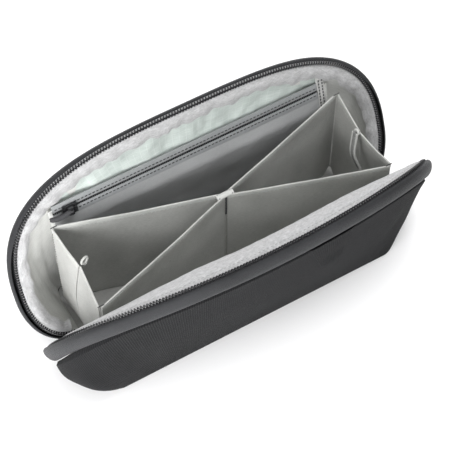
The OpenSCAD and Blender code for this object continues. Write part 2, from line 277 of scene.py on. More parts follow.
def resample(points, step):
    """The same line with points about one step apart."""
    points = np.asarray(points, float)
    run = np.concatenate([[0], np.cumsum(np.linalg.norm(np.diff(points, axis=0), axis=1))])
    count = max(int(round(run[-1] / step)), 2)
    at = np.linspace(0, run[-1], count + 1)
    return np.stack([np.interp(at, run, points[:, k]) for k in range(points.shape[1])], 1)


def frames(line, outward):
    """Along, across and outward directions for each point of a line."""
    along = np.gradient(line, axis=0)
    along /= np.linalg.norm(along, axis=1, keepdims=True)
    up = outward - along * (outward * along).sum(1, keepdims=True)
    up /= np.linalg.norm(up, axis=1, keepdims=True)
    return along, np.cross(up, along), up


def wire(name, line, outward, section, material):
    """A section swept along a line; outward is one direction, or one for each point."""
    _, across, up = frames(line, np.broadcast_to(np.asarray(outward, float), np.shape(line)))
    return tube(name, line, across, up, section, material)


def stitches(name, line, outward, material, pitch, fill, width, height):
    """A row of sewn stitches, each a small arched thread lying on the cloth."""
    outward = np.broadcast_to(np.asarray(outward, float), np.shape(line))
    data = resample(np.concatenate([line, outward], 1), pitch)
    line, outward = data[:, :3], data[:, 3:]
    along, across, up = frames(line, outward)
    sides = 6
    rings = ((-0.5, 0.35), (-0.3, 1.0), (0.3, 1.0), (0.5, 0.35))  # place along the thread, thickness
    points, faces = [], []
    for c, a, b, u in zip(line[:-1] + np.diff(line, axis=0) / 2, along, across, up):
        first = len(points)
        for s, size in rings:
            lift = height * (1 if abs(s) < 0.4 else 0.1)
            for angle in range(0, 360, 360 // sides):
                y = math.cos(math.radians(angle)) * width * size
                z = math.sin(math.radians(angle)) * height * size
                points.append(c + a * s * pitch * fill + b * y + u * (z + lift * 0.6))
        faces += loft(len(rings), sides, first) + caps(len(rings), sides, first)
    return mesh(name, points, faces, material, [(0, 0)] * len(points), 80)


# ---- materials ----

class Shader:
    """A Principled material with a short way to add and join nodes."""

    def __init__(self, name, colour, rough=0.8, **sockets):
        self.material = bpy.data.materials.new(name)
        self.material.use_nodes = True
        self.tree = self.material.node_tree
        self.bsdf = next(n for n in self.tree.nodes if n.type == "BSDF_PRINCIPLED")
        self.bsdf.inputs["Base Color"].default_value = (*colour, 1)
        self.bsdf.inputs["Roughness"].default_value = rough
        for key, value in sockets.items():
            self.bsdf.inputs[key.replace("_", " ")].default_value = value

    def node(self, kind, inputs=(), **settings):
        n = self.tree.nodes.new("ShaderNode" + kind)
        for key, value in settings.items():
            setattr(n, key, value)
        for key, value in dict(inputs).items():
            if isinstance(value, bpy.types.NodeSocket):
                self.tree.links.new(value, n.inputs[key])
            else:
                n.inputs[key].default_value = value
        return n

    def math(self, operation, a, b=0.0):
        return self.node("Math", {0: a, 1: b}, operation=operation).outputs[0]

    def position(self, source):
        """Millimetres across and along the cloth, or through the solid."""
        out = self.node("TexCoord").outputs[source]
        return self.node("VectorMath", {0: out, "Scale": 1000.0}, operation="SCALE").outputs[0]

    def split(self, vector):
        return self.node("SeparateXYZ", {0: vector}).outputs

    def wave(self, along, pitch, phase=0.0):
        turned = self.math("MULTIPLY", along, 2 * math.pi / pitch)
        return self.math("SINE", self.math("ADD", turned, phase))

    def noise(self, vector, size, stretch=(1, 1, 1), detail=3.0):
        mapped = self.node("Mapping", {"Vector": vector, "Scale": stretch}).outputs[0]
        n = self.node("TexNoise", {"Vector": mapped, "Scale": 1.0 / size, "Detail": detail})
        return n.outputs["Fac"]

    def tint(self, factor, low, high, at=(0.3, 0.7)):
        """Colour running from low to high with a factor."""
        ramp = self.node("ValToRGB", {"Fac": factor})
        first, last = ramp.color_ramp.elements
        first.position, last.position = at
        first.color, last.color = (*low, 1), (*high, 1)
        return ramp.outputs["Color"]

    def blend(self, factor, a, b):
        return self.node("Mix", {0: factor, 6: a, 7: b}, data_type="RGBA").outputs[2]

    def done(self, colour, height=None, depth=0.15, rough=None):
        self.tree.links.new(colour, self.bsdf.inputs["Base Color"])
        if height is not None:
            bump = self.node("Bump", {"Height": height, "Strength": 0.7, "Distance": depth * MM})
            self.tree.links.new(bump.outputs[0], self.bsdf.inputs["Normal"])
        if rough is not None:
            self.tree.links.new(rough, self.bsdf.inputs["Roughness"])
        return self.material


def ribbed(name, low, high, rib, thread, depth, sheen):
    """Woven shell cloth with fine ribs running down it."""
    s = Shader(name, low, 0.86, Sheen_Weight=sheen, Sheen_Roughness=0.45, Specular_IOR_Level=0.12)
    p = s.position("UV")
    x, y, _ = s.split(p)
    wander = s.math("MULTIPLY", s.noise(p, 9.0, (1, 0.35, 1)), 1.6)
    ribs = s.wave(x, rib, wander)
    across = s.wave(y, thread)
    threads = s.math("MULTIPLY", s.wave(x, thread * 1.1), across)
    height = s.math("ADD", s.math("MULTIPLY", ribs, 0.6), s.math("MULTIPLY", threads, 0.4))
    fleck = s.noise(p, 0.55, (1.6, 0.5, 1), 2.0)
    worn = s.noise(p, 38.0, (1, 1, 1), 4.0)
    light = s.math("ADD", s.math("MULTIPLY", height, 0.30), s.math("MULTIPLY", fleck, 0.6))
    light = s.math("ADD", light, s.math("MULTIPLY", worn, 0.30))
    return s.done(s.tint(light, low, high, (0.2, 0.95)), height, depth)


def woven(name, low, high, thread, depth, patchy=26.0, rough=0.82, sheen=0.06):
    """Plain weave with a slightly uneven colour."""
    s = Shader(name, low, rough, Sheen_Weight=sheen, Specular_IOR_Level=0.2)
    p = s.position("UV")
    x, y, _ = s.split(p)
    weave = s.math("MULTIPLY", s.wave(x, thread), s.wave(y, thread))
    slub = s.noise(p, thread * 1.6, (0.35, 2.4, 1), 2.0)
    worn = s.noise(p, patchy)
    light = s.math("ADD", s.math("MULTIPLY", weave, 0.12), s.math("MULTIPLY", slub, 0.5))
    light = s.math("ADD", light, s.math("MULTIPLY", worn, 0.45))
    height = s.math("ADD", weave, s.math("MULTIPLY", slub, 0.8))
    return s.done(s.tint(light, low, high, (0.25, 0.8)), height, depth)


def heather(name, low, high, depth):
    """Brushed knit with light and dark fibres mixed."""
    s = Shader(name, low, 0.92, Sheen_Weight=0.3)
    p = s.position("UV")
    x, y, _ = s.split(p)
    fibres = s.noise(p, 0.7, (0.45, 1.8, 1), 3.0)
    flecks = s.noise(p, 1.9, (0.5, 1.3, 1), 2.0)
    loops = s.math("MULTIPLY", s.wave(x, 0.9, s.math("MULTIPLY", fibres, 3.0)), s.wave(y, 1.1))
    light = s.math("ADD", s.math("MULTIPLY", fibres, 0.6), s.math("MULTIPLY", flecks, 0.4))
    height = s.math("ADD", loops, s.math("MULTIPLY", fibres, 1.6))
    return s.done(s.tint(light, low, high, (0.32, 0.68)), height, depth)


def ripstop(name, low, high, line):
    """Thin coated cloth with a fine raised check, and lighter streaks painted into its colour as painted
    highlights.
    """
    s = Shader(name, low, 0.62, Sheen_Weight=0.1)
    p = s.position("UV")
    x, y, _ = s.split(p)
    check = s.math("MAXIMUM", s.wave(x, 4.2), s.wave(y, 4.2))
    check = s.math("POWER", s.math("MAXIMUM", check, 0.0), 14.0)
    # painted highlights: long lighter streaks mixed into the colour
    painted_highlight_streaks = s.noise(p, 1.1, (0.16, 2.6, 1), 3.0)
    cloud = s.noise(p, 22.0)
    light = s.math("ADD", s.math("MULTIPLY", painted_highlight_streaks, 0.6), s.math("MULTIPLY", cloud, 0.4))
    colour = s.blend(s.math("MULTIPLY", check, 0.35), s.tint(light, low, high, (0.3, 0.7)), (*line, 1))
    weave = s.math("MULTIPLY", s.wave(x, 0.5), s.wave(y, 0.5))
    height = s.math("ADD", s.math("MULTIPLY", check, 0.7), s.math("MULTIPLY", weave, 0.3))
    return s.done(colour, s.math("ADD", height, s.math("MULTIPLY", cloud, 2.0)), 0.12)


def solid(name, low, high, rough, size=2.0, depth=0.05, **sockets):
    """Metal, nylon or thread with a little wear, by place in the solid."""
    s = Shader(name, low, rough, **sockets)
    p = s.position("Object")
    marks = s.noise(p, size, (1, 1, 1), 4.0)
    fine = s.noise(p, size * 0.2)
    r = s.math("ADD", s.math("MULTIPLY", marks, 0.25), rough - 0.12)
    return s.done(s.tint(marks, low, high), fine, depth, r)


SHELL = ribbed("shell_ribbed", (0.001, 0.0011, 0.0014), (0.024, 0.0245, 0.0265), 1.15, 0.5, 0.34, 0.02)
TAPE = woven("zip_tape_weave", (0.009, 0.0093, 0.0105), (0.032, 0.033, 0.036), 0.42, 0.06, 30, 0.58, 0.05)
COIL = solid("zip_coil_nylon", (0.004, 0.004, 0.005), (0.012, 0.012, 0.014), 0.36)
FACING = heather("facing_knit", (0.28, 0.28, 0.285), (0.56, 0.56, 0.565), 0.25)
LINING = woven("lining_weave", (0.50, 0.505, 0.485), (0.86, 0.865, 0.835), 0.8, 0.14, 30, 0.75)
FLOOR_CLOTH = woven("floor_lining_weave", (0.30, 0.30, 0.29), (0.44, 0.44, 0.43), 0.55, 0.05)
DIVIDER = woven("divider_weave", (0.32, 0.325, 0.312), (0.60, 0.605, 0.583), 0.5, 0.05, 24, 0.75)
HEM = woven("divider_hem_weave", (0.46, 0.465, 0.45), (0.62, 0.625, 0.605), 0.5, 0.06, 14, 0.78)
GUSSET = woven("gusset_weave", (0.34, 0.343, 0.328), (0.60, 0.603, 0.58), 0.5, 0.05, 20, 0.75)
# the ripstop's colour runs from low to high along its painted highlight streaks
RIPSTOP = ripstop("ripstop_check", (0.44, 0.50, 0.47), (0.64, 0.70, 0.67), (0.70, 0.74, 0.72))
SATIN = woven("pocket_satin", (0.30, 0.305, 0.31), (0.45, 0.455, 0.46), 0.45, 0.04, 24, 0.55, 0.1)
POCKET_TAPE = woven("pocket_tape_weave", (0.22, 0.23, 0.235), (0.36, 0.37, 0.375), 0.5, 0.07, 10)
# strap cloth: partly its own darker grey, partly painted shade darkening it for the shadow round the strap
STRAP_PAINTED_SHADE = woven("strap_weave_painted_shade", (0.17, 0.173, 0.166), (0.26, 0.264, 0.253), 0.5, 0.07, 8)
BINDING = woven("binding_weave", (0.44, 0.44, 0.43), (0.60, 0.60, 0.59), 0.6, 0.08, 10)
DARK_THREAD = solid("dark_thread", (0.02, 0.02, 0.022), (0.06, 0.06, 0.064), 0.8)
GREY_THREAD = solid("grey_thread", (0.24, 0.24, 0.245), (0.36, 0.36, 0.365), 0.8)
PALE_THREAD = solid("pale_thread", (0.50, 0.50, 0.48), (0.66, 0.66, 0.64), 0.8)
METAL = solid("slider_metal", (0.045, 0.045, 0.048), (0.11, 0.11, 0.116), 0.3, 1.2, 0.02, Metallic=0.9)
CORD = solid("pull_braid", (0.018, 0.018, 0.02), (0.06, 0.06, 0.064), 0.75, 0.5, 0.08)
UNDERSIDE = woven("base_weave", (0.012, 0.0125, 0.014), (0.05, 0.051, 0.055), 0.8, 0.12)


# Where cloth leaves the base and where it wholly follows its rim, in metres.
FROM_BASE = ((0, 0, 0.002), (0, 0, 0.038))
# The back facing does the same; the front one's free edge follows its rim less than its teeth do.
FACING_REACH = {FRONT: ((0, -0.0524, 0.1202), (0, -0.0632, 0.1075)), BACK: FROM_BASE}


def label_piece(nodes):
    """Hides the CAD nodes that a piece stands for."""
    if nodes:
        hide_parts(*nodes)


def ride(piece, body, slot, *nodes):
    """A piece that moves with one body, in place of the named CAD nodes."""
    label_piece(nodes)
    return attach(piece, body)


def on_rim(piece, side, slot, *nodes, reach=FROM_BASE):
    """Cloth with its place applied to its mesh, in place of the named CAD nodes."""
    label_piece(nodes)
    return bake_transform(piece)


# ---- outer shell ----

BASE_ROUND, TURNED_UNDER = 2.6, 6.0
TAPE_SEAM, BAND_OVER = 0.9, 1.9


def fullness(side, t):
    """How far the panel bulges at half height: most at the left front corner."""
    k = abs(2 * t - 1)
    corner = (8.5 if t < 0.5 else 0.4) if side == FRONT else 3.0
    return mix(2.6, corner, smooth((k - 0.5) / 0.22)) * (1 - 0.6 * smooth((k - 0.9) / 0.1))


def panel_point(side, t, k):
    """From the tape's lower edge at k 0 down to the base's edge at k 1."""
    from_middle = abs(2 * t - 1)
    near = smooth((from_middle - 0.45) / 0.3) * (1 - smooth((from_middle - 0.92) / 0.08))
    top = on_tape(side, t, tape_len(t) + TAPE_SEAM, -(2.4 if t < 0.5 else 1.2) * near)
    low = base_point(side, t, 0, BASE_ROUND)
    out = unit([low[0] * 0.3, low[1], 0])
    belly = (top + low) / 2 + out * fullness(side, t)
    p = bend(top, belly, low, k)
    corner = smooth((from_middle - 0.45) / 0.3) * (1 - smooth((from_middle - 0.9) / 0.1))
    dent = math.sin(math.pi * k) * corner * 1.3 * ripple(t * 26, k * 2.2, side * 3.0)
    sag = math.sin(math.pi * k) * 0.9 * ripple(t * 7, k * 1.6, side * 9.0)
    return p + out * (dent + sag)


def outer_panel(side, name, node):
    """One half's outer cloth, from under the tape down its side and round under the base."""
    down, under = 30, 6  # rows of the grid

    def f(i, j):
        t = mix(0.010, 0.990, i)
        step = j * (down + under)
        if step <= 1:  # tucked in under the tape
            a = panel_point(side, t, 0)
            b = panel_point(side, t, 1 / (down - 1))
            out = unit([a[0] * 0.4, side * abs(a[1]), 0])
            return mix(a, b, step) + out * (0.6 * step - (1.9 - 1.4 * endness(t)) * (1 - step))
        if step <= down:  # down the side
            p = panel_point(side, t, (step - 1) / (down - 1))
            out = unit([p[0] * 0.4, side * abs(p[1]), 0])
            return p + out * 0.6 * (1 - smooth((step - 1) / 5))
        a = (step - down) / under  # round the edge and under the base
        turn = min(a / 0.6, 1.0) * math.pi / 2
        inset = BASE_ROUND * (1 - math.cos(turn)) + max(a - 0.6, 0) / 0.4 * TURNED_UNDER
        return base_point(side, t, inset, BASE_ROUND - BASE_ROUND * math.sin(turn))

    p = grid(181, down + under + 1, f)
    piece = declare(cloth(name, p, 1.8, SHELL, flip=side == FRONT), p)
    return on_rim(piece, side, "shell_fabric", node)


outer_panel(FRONT, "front_shell", "front_panel")
outer_panel(BACK, "back_shell", "back_panel")


def band_profile(t):
    """The rolled tape's section as (down, thick), from the teeth over its crown to its seam."""
    k, width = abs(2 * t - 1), tape_len(t) + BAND_OVER
    fat = mix(2.3, 3.2, smooth((k - 0.2) / 0.35)) * (1 - 0.6 * smooth((k - 0.9) / 0.1))
    cover = smooth((k - 0.5) / 0.3)
    crown = [(-1.4 + width * (1 - math.cos(a)) / 2 - 2.3 * cover * (1 - a / math.pi),
              -fat * math.sin(a) ** 0.75 - (0.4 + 1.5 * cover) * (1 - a / math.pi))
             for a in np.linspace(0, math.pi, 15)]
    first = (mix(-0.9, -3.5, cover), mix(1.6, -1.55, cover))
    return [first] + crown + [(width - BAND_OVER, 1.6)]


def zip_band(side, name, node):
    """Outer zip tape, rolled over a soft edge from the teeth to the seam with the panel."""
    p = np.array([[on_tape(side, t, *point) for point in band_profile(t)]
                  for t in np.linspace(0, 1, 281)])
    piece = declare(cloth(name, p, 0.8, TAPE, flip=side == FRONT), p)
    return on_rim(piece, side, "tape_fabric", node)


zip_band(FRONT, "front_zip_band", "front_zip_tape")
zip_band(BACK, "back_zip_band", "back_zip_tape")


TOOTH_PITCH, COIL_TURN_R = 1.8, 0.95
TURN_POINTS = 8


def zip_teeth(side, name, node):
    """The coil of teeth as one wire wound along the rim."""
    def along_rim(places, n, out):
        return np.array([by_rim(side, a, n, COIL_OUT + out) for a in places])

    t = np.linspace(0, 1, 400)
    data = resample(np.concatenate([along_rim(t, 0, 0), t[:, None]], 1), TOOTH_PITCH / TURN_POINTS)
    line, t = data[:, :3], data[:, 3]
    n = along_rim(t, 1, 0) - along_rim(t, 0, 0)
    out = along_rim(t, 0, 1) - along_rim(t, 0, 0)
    turn = np.arange(len(line)) * 2 * math.pi / TURN_POINTS
    centre = (line + n * (COIL_TURN_R * np.cos(turn))[:, None]
              + out * (COIL_TURN_R * np.sin(turn))[:, None])
    return on_rim(wire(name, centre, n, oval(0.5, 0.5, 5), COIL), side, "zip_coil", node)


zip_teeth(FRONT, "front_zip_teeth", "front_zip_coil")
zip_teeth(BACK, "back_zip_teeth", "back_zip_coil")

# ---- knitted facings inside the teeth ----

FACING_W = {FRONT: 13.0, BACK: 12.5}


def facing_point(side, t, j, calm=False):
    """From the teeth at j 0 to the free edge at j 1; the front one is turned inward.

    A calm facing has no gathers, for the edges of the linings that lie under it.
    """
    k = abs(2 * t - 1)
    if side == FRONT:
        angle = math.radians(mix(47, 8, smooth((k - 0.25) / 0.55)))
        width = mix(FACING_W[FRONT], 7.5, smooth((k - 0.2) / 0.6))
    else:
        angle = math.radians(mix(-16, -12, k))
        width = mix(FACING_W[BACK], 8.4, smooth((k - 0.5) / 0.25))
    phase = t * 2 * math.pi * 34 + 5.0 * ripple(t * 13, 0.0, side * 5.0)
    loose = 0.0 if calm else (1.15 if side == BACK else 0.12)
    scallop = 1 + loose * (0.05 * math.sin(phase) + 0.20 * ripple(t * 26, 9.0, side * 2.0))
    gather = (0.25 + 0.75 * smooth((k - 0.2) / 0.3)) * loose * (0.7 + 0.9 * ripple(t * 11, 3.0, side))
    puff = math.sin(math.pi * min(j, 1.0)) * smooth(j / 0.3) * (1.25 + 0.6 * math.sin(phase + 0.8) * gather)
    wave = ripple(t * 30, j * 1.4, side * 5.0) * 1.3 * loose * smooth(j / 0.5)
    down = j * width * (scallop if j > 0.3 else mix(1.0, scallop, j / 0.3))
    fall = 0.9 * j * j
    lift = puff * (0.7 if side == FRONT else 1.0) - wave - fall * 0.6
    lead = 1 - smooth(j / 0.14) if side == BACK else 0
    n = -0.4 - down * math.cos(angle) + lift * math.sin(angle) + 1.2 * lead
    out = COIL_OUT - 0.1 - down * math.sin(angle) - lift * math.cos(angle) + 0.6 * lead
    return by_rim(side, t, n, out)


def facing(side, name, node):
    """The knitted strip inside the teeth of one half."""
    p = grid(421, 13, lambda i, j: facing_point(side, mix(0.006, 0.994, i), j))
    piece = declare(cloth(name, p, 0.9, FACING, flip=side == BACK), p)
    return on_rim(piece, side, "knit_facing", node, reach=FACING_REACH[side])


facing(FRONT, "front_facing_knit", "front_facing")
facing(BACK, "back_facing_knit", "back_facing")


def facing_row(side, name, at):
    """Stitches along a facing, at one share of its width."""
    t = np.linspace(0.03, 0.97, 300)
    line = np.array([facing_point(side, a, at) for a in t])
    ahead = np.array([facing_point(side, a, at + 0.02) for a in t]) - line
    along = np.gradient(line, axis=0)
    outward = np.cross(along, ahead) * (1 if side == FRONT else -1)
    row = stitches(name, line, outward / np.linalg.norm(outward, axis=1, keepdims=True),
                   GREY_THREAD, 2.6, 0.6, 0.2, 0.12)
    return on_rim(row, side, "knit_facing", reach=FACING_REACH[side])


facing_row(FRONT, "front_facing_stitches", 0.27)
facing_row(BACK, "back_facing_stitches", 0.12)

# ---- base ----

def base_plate(name, inset, z0, z1, material, slot, node):
    """A flat closed plate from z0 to z1, inset from the base's edge, with soft edges."""
    t = np.linspace(0, 1, 121)
    front = [base_point(FRONT, a, inset, 0) for a in t]
    back = [base_point(BACK, a, inset, 0) for a in t[::-1]]
    outline = np.array(front + back)[:, :2]
    points, uv = [], []
    rings = [(0.0, z0), (0.5, z0), (0.97, z0), (1.0, mix(z0, z1, 0.3)), (1.0, mix(z0, z1, 0.7)),
             (0.97, z1), (0.5, z1), (0.0, z1)]
    for scale, z in rings:
        for x, y in outline:
            points.append((x * scale, y * scale, z))
            uv.append((x * scale * MM, y * scale * MM))
    faces = [face[::-1] for face in loft(len(rings), len(outline))]
    return ride(mesh(name, points, faces, material, uv, 40), "base", slot, node)


base_plate("base_underside", 6.0, 0.15, 2.4, UNDERSIDE, "shell_fabric", "base_panel")
base_plate("base_floor_lining", 3.4, 2.8, 3.6, FLOOR_CLOTH, "lining_cloth", "base_liner")

# ---- linings round the two ends ----

def end_low(side, hand, k):
    """Foot of the end lining, from beside the inner wall round to the zip's low end."""
    depth = DEPTH[side]
    wall_end = (78.0, depth - 2.6) if side == FRONT else (84.0, depth - 3.2)
    path = np.array([wall_end, (90.0, depth - 4.5), (95.0, depth - 7.0), (96.4, depth - 13.0), (96.6, 0.3)])
    run = np.concatenate([[0], np.cumsum(np.linalg.norm(np.diff(path, axis=0), axis=1))])
    x = np.interp(k * run[-1], run, path[:, 0])
    y = np.interp(k * run[-1], run, path[:, 1])
    return np.array([hand * x, side * y, 4.2])


def rim_out(side):
    """Direction out of the meeting plane for one half."""
    return place(side, 0, 0, 1) - place(side, 0, 0, 0)


def end_lining(side, hand, name, node):
    """Lining round one end of a half, from behind the inner wall to the zip's low end."""
    behind_wall = 0.165 if side == FRONT else 0.205

    def f(i, j):
        t = 0.5 + hand * mix(behind_wall, 0.496, i)
        back = mix(3.4, 0.8, smooth((i - 0.75) / 0.25))
        top = facing_point(side, t, 0.6, True) + rim_out(side) * back
        low = end_low(side, hand, i)
        out = unit([hand * 1.0, side * 0.35, 0])
        belly = (top + low) / 2 + out * 3.5
        p = bend(top, belly, low, j)
        broad = ripple(i * 3 + hand * 3, j * 2.6, side * 2.0) * 1.8
        fine = ripple(i * 9, j * 5 + hand, side) * 0.9
        return p + out * (broad + fine) * math.sin(math.pi * j)

    p = grid(49, 21, f)
    piece = declare(cloth(name, p, 0.7, LINING, flip=side * hand > 0), p)
    return on_rim(piece, side, "lining_cloth", node)


end_lining(FRONT, -1, "left_front_lining_cloth", "left_front_end_lining")
end_lining(BACK, -1, "left_back_lining_cloth", "left_back_end_lining")
end_lining(FRONT, 1, "right_front_lining_cloth", "right_front_end_lining")
end_lining(BACK, 1, "right_back_lining_cloth", "right_back_end_lining")

# ---- inner walls ----

BACK_LINE = [(36.5, 4.6), (30.5, 70.0), (36.5, 90.0)]
FRONT_LINE = [(40.5, 4.6), (35.8, 70.0), (36.5, 84.0)]


def wall_y(line, z):
    """How far a wall stands from the middle at a height, from its (distance, height) points."""
    return float(np.interp(z, [p[1] for p in line], [p[0] for p in line]))


WALL_FOOT, WALL_HALF = 4.8, 92.2
CORNER_RISE, CORNER_IN = 30, 12


def drawn_in(x, z, half):
    """How far a wall's lower corners are drawn in towards the middle, by place."""
    return math.copysign(smooth((CORNER_RISE - z) / CORNER_RISE) * CORNER_IN * abs(x / half) ** 6, x)


def wall(side, line, name, node, top, body):
    """An inner wall across the whole pouch, from the floor to its top."""
    def f(i, j):
        z = mix(top, WALL_FOOT, j)
        x = mix(-WALL_HALF, WALL_HALF, i)
        x -= drawn_in(x, z, WALL_HALF)
        y = wall_y(line, z) + 0.8 * ripple(x / 17, z / 21, side * 4.0) * smooth((top - z) / 8)
        return np.array([x, side * y, z])

    p = grid(96, 32, f)
    return ride(declare(cloth(name, p, 0.7, LINING, flip=side == BACK), p), body, "lining_cloth", node)


wall(FRONT, FRONT_LINE, "front_wall_cloth", "front_lining", 75, "front_wall")
wall(BACK, BACK_LINE, "back_wall_cloth", "back_lining", 84, "back_wall")


def upper_lining(side, name, nodes, material, slot):
    """From under the facing's free edge down behind the inner wall's top."""
    share = 0.262  # of the rim, to each side of its middle
    line = BACK_LINE if side == BACK else FRONT_LINE
    foot = 76.0 if side == BACK else 68.0
    under = rim_out(side) * 2.2 if side == BACK else np.array([0, -0.6, -1.8])

    def f(i, j):
        t = mix(0.5 - share, 0.5 + share, i)
        top = facing_point(side, t, 0.62, True) + under
        x = top[0] * mix(1.0, 0.93, j)
        low = np.array([x * 0.93, side * (wall_y(line, foot) + 3.2), foot])
        p = mix(top, low, j)
        soft = math.sin(math.pi * min(j * 1.1, 1.0))
        wave = 1.7 * ripple(t * 21, j * 1.8, side * 7.0) + 0.8 * ripple(t * 60, j * 4.0, side * 2.0)
        return p + np.array([0, side * (1.8 + wave) * soft, 0])

    p = grid(141, 26, f)
    piece = declare(cloth(name, p, 0.6, material, flip=side == BACK), p)
    return on_rim(piece, side, slot, *nodes)


upper_lining(BACK, "back_ripstop", ["back_upper_lining"], RIPSTOP, "ripstop")
upper_lining(FRONT, "front_upper_lining", [], LINING, "lining_cloth")

# ---- zipped pocket ----

TILT = math.atan2(6.0, 20.0)
POCKET_Z, POCKET_LEFT, POCKET_RIGHT = 82.0, -90.0, 85.0
SLIDER_X, EYE_OUT = -80.0, 4.8


def on_wall(x, up, out):
    """A place on the leaning top of the back wall: up from the pocket's zip, out from its face."""
    y = wall_y(BACK_LINE, POCKET_Z) + up * math.sin(TILT) - out * math.cos(TILT)
    return np.array([x, y, POCKET_Z + up * math.cos(TILT) + out * math.sin(TILT)])


WALL_OUT = unit(on_wall(0, 0, 1) - on_wall(0, 0, 0))
WALL_UP = unit(on_wall(0, 1, 0) - on_wall(0, 0, 0))


def pocket_strip(name, node, low, high, out, thick, material, slot, x0=POCKET_LEFT,
                 x1=POCKET_RIGHT, rows=90):
    """A flat strip on the leaning top of the wall, from x0 to x1 and from low to high."""
    def f(i, j):
        up = mix(high, low, j)
        crown = 0.25 * math.sin(math.pi * j)
        wave = 0.25 * ripple(i * 9, up / 8, 3.0)
        return on_wall(mix(x0, x1, i), up + wave * 0.4, out + thick + crown + wave)

    p = grid(rows, 7, f)
    return ride(cloth(name, p, thick, material, flip=True), "back_wall", slot, node)


pocket_strip("pocket_tape_above", "pocket_upper_tape", 0.7, 5.6, 0.3, 0.8, POCKET_TAPE, "pocket_tape")
pocket_strip("pocket_tape_below", "pocket_lower_tape", -5.6, -0.7, 0.3, 0.8, POCKET_TAPE, "pocket_tape")


def pocket_cloth():
    """The pocket's face: its head lies on the leaning top of the wall, the rest hangs below."""
    head, head_foot = 0.14, -12.2

    def f(i, j):
        x = mix(-90.2, 90.2, i)
        if j <= head:
            p = on_wall(x, mix(-4.6, head_foot, j / head), 0.9)
        else:
            z = mix(on_wall(x, head_foot, 0)[2], 6.5, (j - head) / (1 - head))
            p = np.array([x, wall_y(BACK_LINE, z) - 1.3, z])
        soft = smooth(j / 0.25) * (1 - smooth((j - 0.8) / 0.2))
        wave = 1.0 * ripple(x / 26, j * 3.2, 11.0) + 0.5 * ripple(x / 9, j * 7.0, 12.0)
        inward = np.array([-drawn_in(x, p[2], 92), 0, 0])
        return p + inward + WALL_OUT * (0.5 + wave) * soft

    p = grid(110, 40, f)
    piece = declare(cloth("pocket_satin_face", p, 0.6, SATIN, flip=True), p)
    return ride(piece, "back_wall", "pocket_satin", "pocket_face")


pocket_cloth()


def pocket_teeth():
    """The pocket's small coil, wound like the main one."""
    step = 1.15 / TURN_POINTS
    x = np.arange(POCKET_LEFT, POCKET_RIGHT, step)
    turn = np.arange(len(x)) * 2 * math.pi / TURN_POINTS
    centre = np.array([on_wall(a, 0.6 * math.cos(w), 0.95 + 0.45 * math.sin(w))
                       for a, w in zip(x, turn)])
    return ride(wire("pocket_zip_teeth", centre, WALL_OUT, oval(0.27, 0.3, 5), COIL),
                "back_wall", "zip_coil", "pocket_zip_coil")


pocket_teeth()


def wall_row(name, a, b, slot, width):
    """A straight row of dark stitches on the wall's leaning top."""
    line = np.array([mix(a, b, k) for k in np.linspace(0, 1, 12)])
    return ride(stitches(name, line, WALL_OUT, DARK_THREAD, 2.4, 0.7, width, 0.2), "back_wall", slot)


for label, up in (("a", 2.6), ("b", -2.6)):
    wall_row("pocket_row_" + label, on_wall(POCKET_LEFT + 1, up, 1.35),
             on_wall(POCKET_RIGHT - 1, up, 1.35), "pocket_tape", 0.38)

pocket_strip("pocket_binding_strip", "pocket_binding", -13, 9.5, 0.5, 1.2, BINDING, "lining_cloth",
             POCKET_RIGHT + 0.2, POCKET_RIGHT + 4.4, 12)
for label, x in (("a", POCKET_RIGHT + 1.1), ("b", POCKET_RIGHT + 3.4)):
    wall_row("binding_row_" + label, on_wall(x, -12, 2.0), on_wall(x, 8.5, 2.0), "lining_cloth", 0.42)

# ---- crossed divider and folding gussets ----

CROSSING = np.array([1.5, -1.9])
CORNERS = {"rear_left": np.array([-94.2, 25.3]), "rear_right": np.array([94.2, 25.3]),
           "front_left": np.array([-94.2, -32.0]), "front_right": np.array([94.2, -32.0])}
FOLDS = {"left": np.array([-91.0, -3.3]), "right": np.array([91.0, -3.3])}
TOP, TOP_BACK, CLOTH_FLOOR = 80.0, 82.6, 4.6
QUARTERS = (("rear", "left"), ("front", "left"), ("rear", "right"), ("front", "right"))
UPRIGHT_T, HEM_T, HEM_H = 0.8, 0.56, 4.2
CORNER_CUT, APART = 5.0, 0.55


def hemmed_ring():
    """The section as (side, share of the height, rise above it): up one face, over the hem, down."""
    half = UPRIGHT_T / 2
    shares = (0.0, 0.2, 0.4, 0.6, 0.8, 1.0)
    hem = [(HEM_T, 0.3), (HEM_T, HEM_H * 0.5), (HEM_T * 1.05, HEM_H - 1.0), (HEM_T * 0.7, HEM_H - 0.2)]
    ring = [(-half, k, 0.0) for k in shares]
    ring += [(-side, 1.0, rise) for side, rise in hem]
    ring += [(0.0, 1.0, HEM_H)]
    ring += [(side, 1.0, rise) for side, rise in hem[::-1]]
    return ring + [(half, k, 0.0) for k in shares[::-1]]


